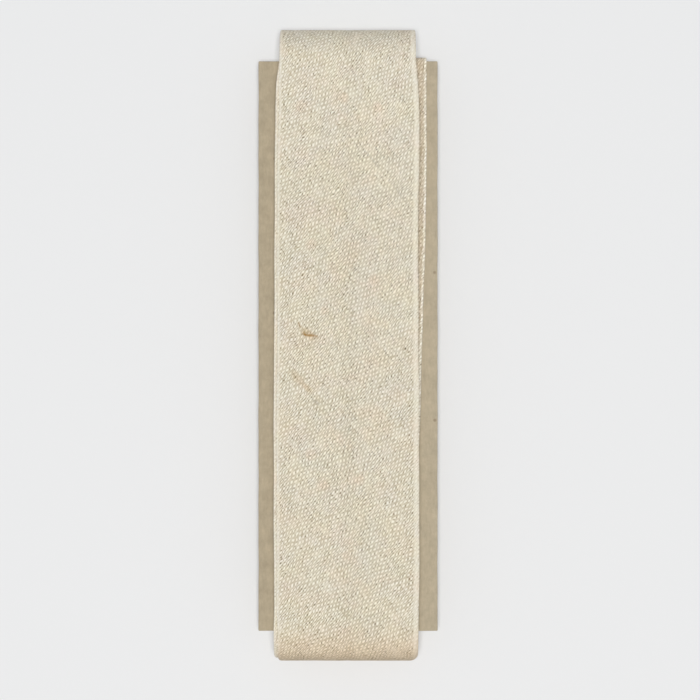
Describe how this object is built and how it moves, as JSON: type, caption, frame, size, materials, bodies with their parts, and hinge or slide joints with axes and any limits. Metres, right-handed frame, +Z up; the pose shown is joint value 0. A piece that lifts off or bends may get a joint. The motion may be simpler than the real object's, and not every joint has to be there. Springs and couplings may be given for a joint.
{
  "type": "roll of bias binding",
  "caption": "Flat roll of folded bias-cut cotton binding, wound lengthwise round a wider board card that shows along both sides.",
  "frame": {"origin": "under the middle of the roll, on the surface that it lies on", "axes": "+Y along the roll towards the end where the lower turn shows beside the outermost one, +X across it towards that lower turn's side, +Z up through its thickness"},
  "size_m": [0.0322, 0.1134, 0.0129],
  "materials": {
    "cloth": "matte unbleached plain weave with slubs",
    "board": "matte uncoated grey-brown board"
  },
  "bodies": {
    "root": {"binding": "cloth", "card": "board"}
  },
  "joints": []
}
